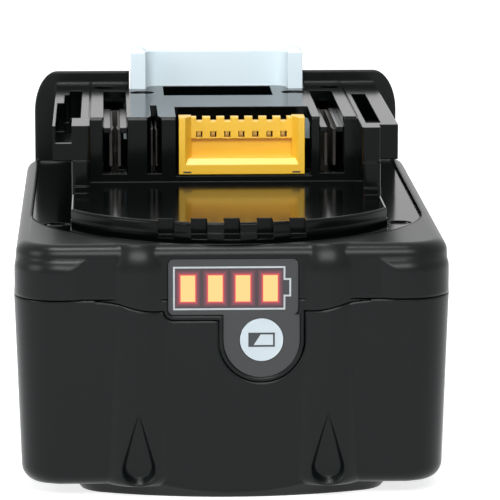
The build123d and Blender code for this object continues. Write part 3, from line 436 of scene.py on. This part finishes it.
def flat_piece(name, faces, near, thickness, body, material):
    """A thin printed layer from front-view outlines (X, Z), just proud of a depth."""
    form = bmesh.new()
    for outline in faces:
        points = [form.verts.new(mm(x, near, z)) for x, z in outline]
        form.faces.new(points)
    bmesh.ops.recalc_face_normals(form, faces=form.faces)
    result = bmesh.ops.extrude_face_region(form, geom=list(form.faces))
    moved = [part for part in result["geom"] if isinstance(part, bmesh.types.BMVert)]
    bmesh.ops.translate(form, verts=moved, vec=mm(0, -thickness, 0))
    bmesh.ops.recalc_face_normals(form, faces=form.faces)
    return settle(name, form, body, material)


def settle(name, form, body, material):
    """Turns a bmesh into a piece that rides on a body."""
    mesh = bpy.data.meshes.new(name)
    form.to_mesh(mesh)
    form.free()
    mesh.materials.append(material)
    piece = bpy.data.objects.new(name, mesh)
    scene.collection.objects.link(piece)
    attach(piece, body)
    return piece


def band(points, width):
    """Front-view quads of a closed line of even width, with mitred corners."""
    count = len(points)
    inner = []
    for index in range(count):
        before, here, after = (Vector(points[(index + step) % count]) for step in (-1, 0, 1))
        first = (here - before).normalized()
        second = (after - here).normalized()
        normal = Vector((-first.y, first.x)) + Vector((-second.y, second.x))
        scale = width / normal.normalized().dot(Vector((-first.y, first.x)))
        inner.append(here + normal.normalized() * scale)
    quads = []
    for index in range(count):
        after = (index + 1) % count
        quads.append([points[index], points[after], tuple(inner[after]), tuple(inner[index])])
    return quads


def box_outline(left, right, low, high):
    """Front-view rectangle, anticlockwise."""
    return [(left, low), (right, low), (right, high), (left, high)]


def gauge_print():
    """White battery outline, the glowing field inside it and the lit windows."""
    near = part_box("gauge_label")[0].y / MILLIMETRE
    nub_right = outline_right + nub_reach
    battery = [(outline_left, outline_low), (outline_right, outline_low), (outline_right, nub_low),
               (nub_right, nub_low), (nub_right, nub_high), (outline_right, nub_high),
               (outline_right, outline_high), (outline_left, outline_high)]
    flat_piece("gauge_outline", band(battery, outline_width), near, print_thickness, "pack", white_ink())
    field = box_outline(outline_left + outline_width, outline_right - outline_width,
                        outline_low + outline_width, outline_high - outline_width)
    flat_piece("gauge_field", [field], near, print_thickness / 2, "pack", glow_panel())
    starts = [lamp_first + lamp_pitch * index for index in range(lamp_count)]
    windows = [box_outline(start, start + lamp_width, lamp_low, lamp_high) for start in starts]
    flat_piece("gauge_windows", windows, near, print_thickness, "pack", lamp_glow())


def check_print():
    """Battery pictogram on the check button: an outlined box, partly filled on a slant."""
    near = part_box("check_button")[0].y / MILLIMETRE
    left, right = tongue_x - pictogram_width / 2, tongue_x + pictogram_width / 2
    low, high = tongue_z - pictogram_height / 2, tongue_z + pictogram_height / 2
    faces = band(box_outline(left, right, low, high), pictogram_line)
    inside = left + pictogram_line
    fill_low = inside + pictogram_slant / 2
    fill_high = fill_low + pictogram_slant
    faces.append([(inside, low + pictogram_line), (fill_low, low + pictogram_line),
                  (fill_high, high - pictogram_line), (inside, high - pictogram_line)])
    flat_piece("check_pictogram", faces, near, print_thickness, "check", dark_ink())


def sill_marks():
    """Two small dark marks near the bottom corners of the connector's sill."""
    low, high = (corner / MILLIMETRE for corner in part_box("connector_block"))
    front_edge = mm(low.y + print_thickness)
    corners = nodes["connector_block"].data.vertices
    sill_z = min(corner.co.z for corner in corners if corner.co.y < front_edge) / MILLIMETRE
    mark_low = sill_z + sill_mark_rise
    mark_high = mark_low + sill_mark_height
    left, right = low.x + sill_mark_inset, high.x - sill_mark_inset - sill_mark_width
    marks = [box_outline(x, x + sill_mark_width, mark_low, mark_high) for x in (left, right)]
    flat_piece("sill_marks", marks, low.y, print_thickness, "pack", dark_ink())


# Springs and screws


def helix_tree():
    """Geometry nodes that set a round-wire helix on every point of a mesh."""
    tree = bpy.data.node_groups.new("helix_set", "GeometryNodeTree")
    tree.interface.new_socket("Geometry", in_out="INPUT", socket_type="NodeSocketGeometry")
    for name in ("Turns", "Radius", "Length", "Wire Radius"):
        tree.interface.new_socket(name, in_out="INPUT", socket_type="NodeSocketFloat")
    tree.interface.new_socket("Material", in_out="INPUT", socket_type="NodeSocketMaterial")
    tree.interface.new_socket("Geometry", in_out="OUTPUT", socket_type="NodeSocketGeometry")
    given = add_node(tree, "NodeGroupInput").outputs
    helix = add_node(tree, "GeometryNodeCurveSpiral", {"Resolution": turn_segments},
                     {"Rotations": given["Turns"], "Start Radius": given["Radius"],
                      "End Radius": given["Radius"], "Height": given["Length"]})
    wire = add_node(tree, "GeometryNodeCurvePrimitiveCircle", {"Resolution": wire_sides},
                    {"Radius": given["Wire Radius"]})
    tube = add_node(tree, "GeometryNodeCurveToMesh", {"Fill Caps": True},
                    {"Curve": helix.outputs["Curve"], "Profile Curve": wire.outputs["Curve"]})
    copies = add_node(tree, "GeometryNodeInstanceOnPoints",
                      links={"Points": given["Geometry"], "Instance": tube.outputs["Mesh"]})
    real = add_node(tree, "GeometryNodeRealizeInstances", links={"Geometry": copies.outputs["Instances"]})
    dressed = add_node(tree, "GeometryNodeSetMaterial",
                       links={"Geometry": real.outputs["Geometry"], "Material": given["Material"]})
    add_node(tree, "NodeGroupOutput", links={"Geometry": dressed.outputs["Geometry"]})
    return tree


def helix_set(name, places, body, slot, **inputs):
    """Equal helices that start at the given places, as one plain mesh."""
    points = bpy.data.meshes.new(name + "_places")
    points.from_pydata(places, [], [])
    holder = bpy.data.objects.new(name + "_holder", points)
    scene.collection.objects.link(holder)
    modifier = holder.modifiers.new("helix_set", "NODES")
    modifier.node_group = helices
    for socket in helices.interface.items_tree:
        key = socket.name.replace(" ", "_")
        if key in inputs:
            modifier[socket.identifier] = inputs[key]
    depsgraph = bpy.context.evaluated_depsgraph_get()
    mesh = bpy.data.meshes.new_from_object(holder.evaluated_get(depsgraph))
    bpy.data.objects.remove(holder)
    mesh.shade_smooth()
    piece = bpy.data.objects.new(name, mesh)
    scene.collection.objects.link(piece)
    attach(piece, body)
    return piece


def coil_springs():
    """Round-wire springs in place of the plain sleeves, pressed towards their seat by the hook."""
    half = mm(spring_wire) / 2
    for node in ("latch_spring_left", "latch_spring_right"):
        low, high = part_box(node)
        rest_length = high.z - low.z
        seat = Vector(((low.x + high.x) / 2, (low.y + high.y) / 2, low.z))
        start = seat + Vector((0, 0, half))
        piece = helix_set(node.replace("latch_", "coil_"), [start], "pack", "spring_steel",
                          Turns=spring_turns, Radius=(high.x - low.x) / 2 - half,
                          Length=rest_length - 2 * half, Wire_Radius=half, Material=finishes["spring_steel"])
        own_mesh(piece)
        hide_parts(node)


def ring(radius, height, lobe_share=0.0):
    """Points of a level ring, with lobes where asked."""
    points = []
    for index in range(ring_points):
        turn = 2 * pi * index / ring_points
        reach = radius * (1 + lobe_share * cos(drive_lobes * turn))
        points.append(mm(cos(turn) * reach, sin(turn) * reach, height))
    return points


def screw_profile(length):
    """Rings of a pan-head screw from its point to the bottom of its six-lobed drive."""
    point, shank = screw_shank_radius * screw_point_share, screw_shank_radius
    head, rise = screw_head_radius, screw_head_height
    return [
        ring(point, -length),
        ring(shank, screw_point_length - length),
        ring(shank, 0),
        ring(head, 0),
        ring(head, rise * pan_side_share),
        ring(head * pan_round_share, rise * pan_high_share),
        ring(head * pan_top_share, rise),
        ring(drive_radius, rise, drive_lobe_share),
        ring(drive_radius, rise - drive_depth, drive_lobe_share),
    ]


def add_stack(form, rings, place, turned):
    """Skin over a stack of rings, set at a place and turned head down where asked."""
    flip = -1 if turned else 1
    loops = [[form.verts.new((place.x + point.x, place.y + flip * point.y, place.z + flip * point.z))
              for point in points] for points in rings]
    for lower, upper in zip(loops, loops[1:]):
        for index in range(ring_points):
            after = (index + 1) % ring_points
            form.faces.new((lower[index], lower[after], upper[after], upper[index]))
    form.faces.new(loops[-1])
    form.faces.new(list(reversed(loops[0])))


def screws(node, turned, material):
    """Threaded screws with drive recesses in place of a node's plain ones."""
    low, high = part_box(node)
    reach = mm(screw_head_radius)
    sides, ends = (low.x + reach, high.x - reach), (low.y + reach, high.y - reach)
    spots = sorted({(x, y) for x in sides for y in ends})
    seat = low.z + mm(screw_head_height) if turned else high.z - mm(screw_head_height)
    length = (high.z - low.z) / MILLIMETRE - screw_head_height
    form = bmesh.new()
    for x, y in spots:
        add_stack(form, screw_profile(length), Vector((x, y, seat)), turned)
    piece = settle(node + "_dressed", form, "pack", material)
    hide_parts(node)
    threaded = length - screw_point_length
    start = seat if turned else seat - mm(threaded)
    helix_set(node + "_threads", [Vector((x, y, start)) for x, y in spots], "pack", "screw_steel",
              Turns=threaded / thread_pitch, Radius=mm(screw_shank_radius), Length=mm(threaded),
              Wire_Radius=mm(thread_depth), Material=material)


def bare_cell_ends():
    """Bright nickel-plated ends on the sleeved cells."""
    can = steel("nickel_plated_can", "#b9b6ae", roughness=0.3)
    for node in ("cells_lower", "cells_upper"):
        mesh = nodes[node].data
        mesh.materials.append(can)
        for face in mesh.polygons:
            if abs(face.normal.x) > end_facing:
                face.material_index = second_finish


# Stage


def add_camera():
    """Camera at the photograph's place and angle."""
    data = bpy.data.cameras.new("camera")
    data.sensor_width = sensor_width
    data.lens = camera_lens
    data.clip_start = mm(clip_near)
    data.clip_end = mm(clip_far)
    camera = bpy.data.objects.new("camera", data)
    camera.location = mm(*camera_place)
    camera.rotation_euler = (radians(camera_tilt), 0, radians(camera_turn))
    scene.collection.objects.link(camera)
    scene.camera = camera


def add_softbox(name, place, width, height, power):
    """Rectangular soft light aimed at the middle of the pack."""
    data = bpy.data.lights.new(name, "AREA")
    data.shape = "RECTANGLE"
    data.size = mm(width)
    data.size_y = mm(height)
    data.energy = power
    light = bpy.data.objects.new(name, data)
    light.location = mm(*place)
    light.rotation_euler = (mm(*light_aim) - light.location).to_track_quat("-Z", "Y").to_euler()
    scene.collection.objects.link(light)


def background_share(tree):
    """1 for rays that show the background: camera, mirror and see-through rays."""
    rays = add_node(tree, "ShaderNodeLightPath").outputs
    first = add_node(tree, "ShaderNodeMath", links={0: rays["Is Camera Ray"], 1: rays["Is Glossy Ray"]},
                     operation="MAXIMUM")
    both = add_node(tree, "ShaderNodeMath", links={0: first.outputs[0], 1: rays["Is Transmission Ray"]},
                    operation="MAXIMUM")
    return both.outputs[0]


def add_world():
    """White surroundings for the eye and for reflections, softer for the light they give."""
    world = bpy.data.worlds.new("studio")
    scene.world = world
    world.use_nodes = True
    tree = world.node_tree
    tree.nodes.clear()
    light = add_node(tree, "ShaderNodeBackground", {"Color": colour("#e9edf0"), "Strength": world_light})
    backdrop = add_node(tree, "ShaderNodeBackground",
                        {"Color": colour("#ffffff"), "Strength": world_backdrop})
    mixed = add_node(tree, "ShaderNodeMixShader", links={0: background_share(tree), 1: light.outputs[0],
                                                         2: backdrop.outputs[0]})
    add_node(tree, "ShaderNodeOutputWorld", links={"Surface": mixed.outputs[0]})


def add_floor():
    """Plain pale floor under the pack, lifted to white where it shows but not in its shadow."""
    form = bmesh.new()
    bmesh.ops.create_grid(form, x_segments=1, y_segments=1, size=mm(floor_reach))
    mesh = bpy.data.meshes.new("floor")
    form.to_mesh(mesh)
    form.free()
    material, shader = finish("pale_floor", "#d0d2d4", roughness=0.9, Emission_Color=colour("#ffffff"))
    tree = material.node_tree
    seen = add_node(tree, "ShaderNodeMath", {1: floor_lift}, {0: background_share(tree)},
                    operation="MULTIPLY")
    tree.links.new(seen.outputs[0], shader.inputs["Emission Strength"])
    mesh.materials.append(material)
    floor = bpy.data.objects.new("floor", mesh)
    scene.collection.objects.link(floor)


def add_lights():
    """Overhead softbox, a side fill and a wide softbox above the camera."""
    for name, light in soft_lights.items():
        add_softbox(name, **light)


paint_nodes()
polish_deck()
gauge_print()
check_print()
sill_marks()
helices = helix_tree()
coil_springs()
screws("case_screws", True, finishes["screw_steel"])
screws("deck_screws", False, screw_steel_in_painted_shade)
screws("well_screws", False, screw_steel_in_painted_shade)
bare_cell_ends()
add_camera()
add_world()
add_floor()
add_lights()
scene.view_settings.view_transform = "Standard"
